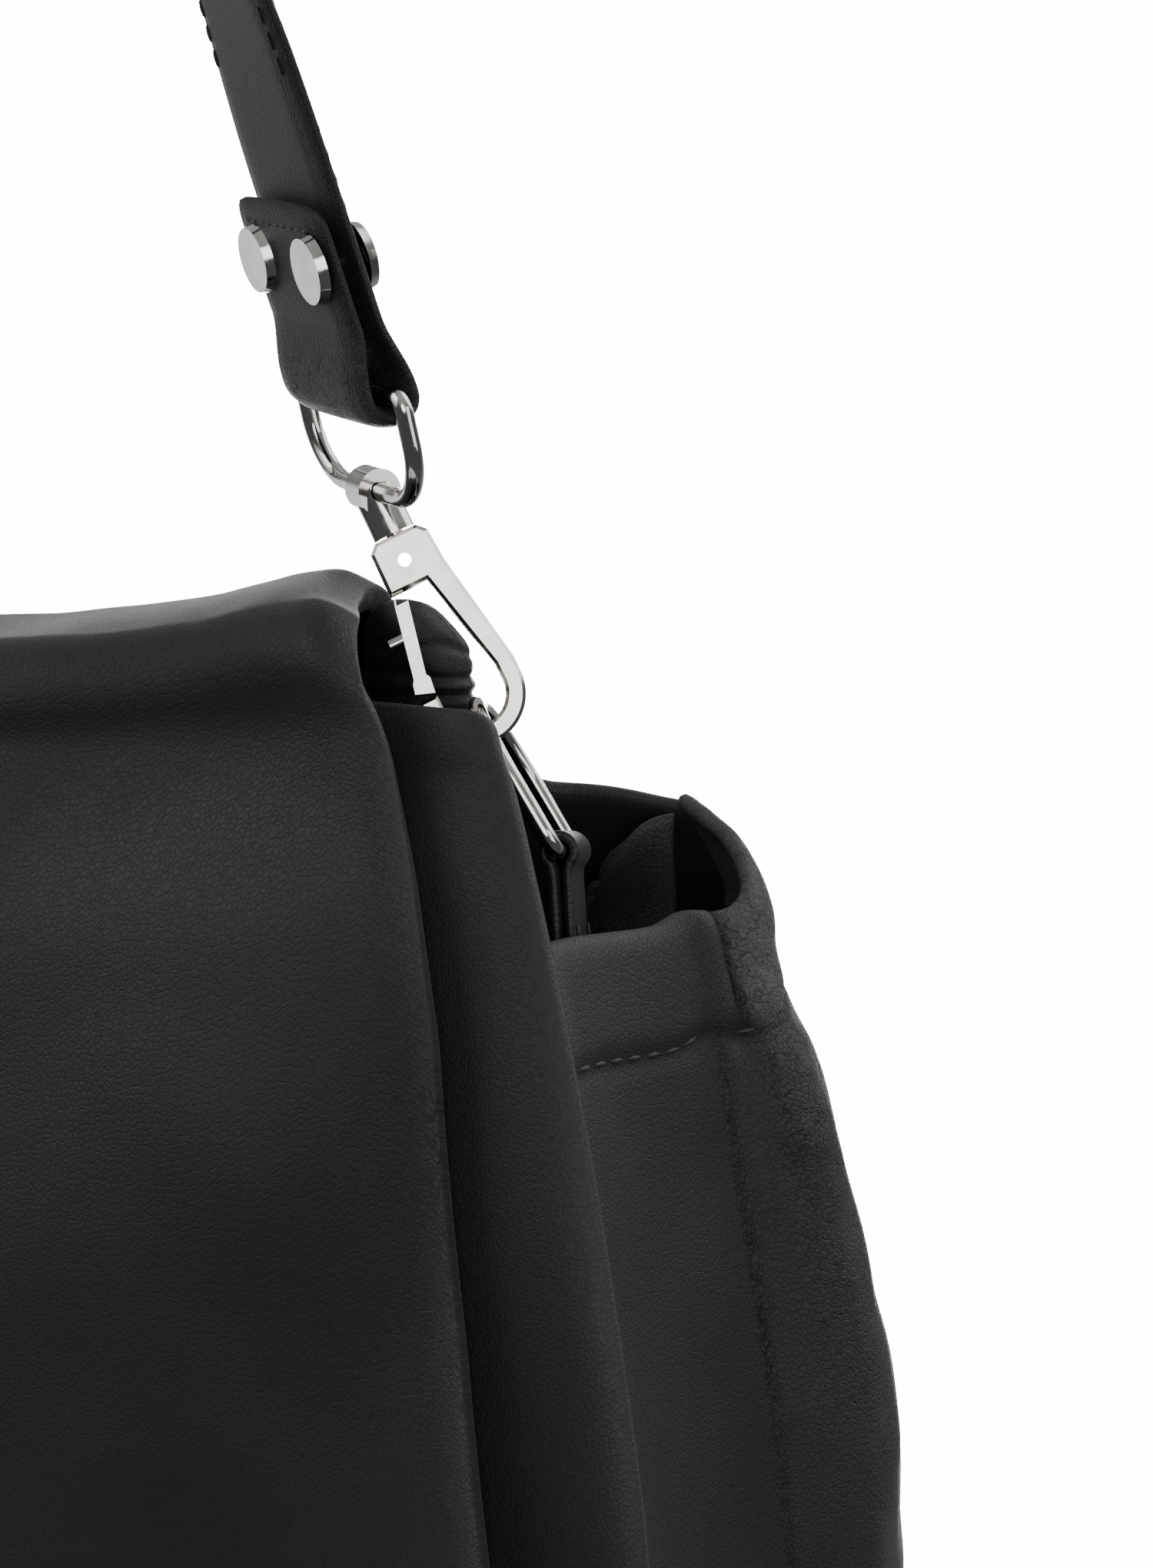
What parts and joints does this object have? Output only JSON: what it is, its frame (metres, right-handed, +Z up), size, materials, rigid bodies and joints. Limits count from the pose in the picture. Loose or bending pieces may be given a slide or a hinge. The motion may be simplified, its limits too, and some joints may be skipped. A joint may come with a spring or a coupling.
{
  "type": "shoulder bag",
  "caption": "Soft leather flap-over shoulder bag with a raised strap clipped by a swivel hook to a D-ring in each open side mouth.",
  "frame": {"origin": "middle of the flat base, on the surface the bag stands on", "axes": "+X towards the bag's right-hand end seen from the front, -Y out of the flap's face, +Z up towards the strap"},
  "size_m": [0.3512, 0.1072, 0.5064],
  "materials": {
    "leather": "soft semi-matte, fine pebble grain",
    "strap_leather": "semi-matte, smooth",
    "nickel": "polished nickel plate",
    "gate_nickel": "polished nickel plate",
    "board": "stiffening board",
    "cloth": "woven lining cloth"
  },
  "bodies": {
    "bag": {"front_panel": "leather", "back_panel": "leather", "gusset_right": "leather", "gusset_left": "leather", "hem_right": "leather", "hem_left": "leather", "base_panel": "leather", "base_board": "board", "inner_pocket": "cloth", "front_facing": "leather", "flap_root": "leather", "snap_socket": "nickel", "chape_right": "strap_leather", "chape_left": "strap_leather"},
    "flap_crown": {"flap_top": "leather"},
    "flap_drop": {"flap_front": "leather", "snap_stud": "nickel"},
    "strap_body": {"strap": "strap_leather", "strap_rivets": "nickel", "loop_right": "nickel", "loop_left": "nickel", "eye_right": "nickel", "eye_left": "nickel"},
    "hook_right_body": {"hook_right": "nickel", "gate_rivet_right": "nickel"},
    "gate_right_body": {"gate_right": "gate_nickel"},
    "ring_right_body": {"bag_ring_right": "nickel"},
    "hook_left_body": {"hook_left": "nickel", "gate_rivet_left": "nickel"},
    "gate_left_body": {"gate_left": "gate_nickel"},
    "ring_left_body": {"bag_ring_left": "nickel"}
  },
  "joints": [
    {"name": "flap_lift", "type": "hinge", "parent": "bag", "child": "flap_crown", "pos_m": [0, 0.0158, 0.2646], "axis": [-1, 0, 0], "range_deg": [0, 14]},
    {"name": "flap_swing", "type": "hinge", "parent": "flap_crown", "child": "flap_drop", "pos_m": [0, -0.0192, 0.2646], "axis": [-1, 0, 0], "range_deg": [0, 110]},
    {"name": "strap_swing", "type": "hinge", "parent": "bag", "child": "strap_body", "pos_m": [0, 0, 0.25], "axis": [1, 0, 0], "range_deg": [-6, 6]},
    {"name": "hook_swivel_right", "type": "hinge", "parent": "strap_body", "child": "hook_right_body", "pos_m": [0.122, 0, 0.25], "axis": [-0.4848, 0, 0.8746], "range_deg": [-6, 6]},
    {"name": "gate_press_right", "type": "hinge", "parent": "hook_right_body", "child": "gate_right_body", "pos_m": [0.11093, -0.0002, 0.26925], "axis": [0.4373, -0.866, 0.2424], "range_deg": [0, 22], "stiffness_Nm_per_rad": 0.02, "springref_deg": -20.05},
    {"name": "ring_rock_right", "type": "hinge", "parent": "bag", "child": "ring_right_body", "pos_m": [0.1352, 0, 0.2306], "axis": [-0.323, 0.9205, -0.2198], "range_deg": [-1.5, 1.5]},
    {"name": "hook_swivel_left", "type": "hinge", "parent": "strap_body", "child": "hook_left_body", "pos_m": [-0.122, 0, 0.25], "axis": [-0.4848, 0, -0.8746], "range_deg": [-6, 6]},
    {"name": "gate_press_left", "type": "hinge", "parent": "hook_left_body", "child": "gate_left_body", "pos_m": [-0.11093, -0.0002, 0.26925], "axis": [0.4373, 0.866, -0.2424], "range_deg": [0, 22], "stiffness_Nm_per_rad": 0.02, "springref_deg": -20.05},
    {"name": "ring_rock_left", "type": "hinge", "parent": "bag", "child": "ring_left_body", "pos_m": [-0.1352, 0, 0.2306], "axis": [-0.323, -0.9205, 0.2198], "range_deg": [-1.5, 1.5]}
  ]
}
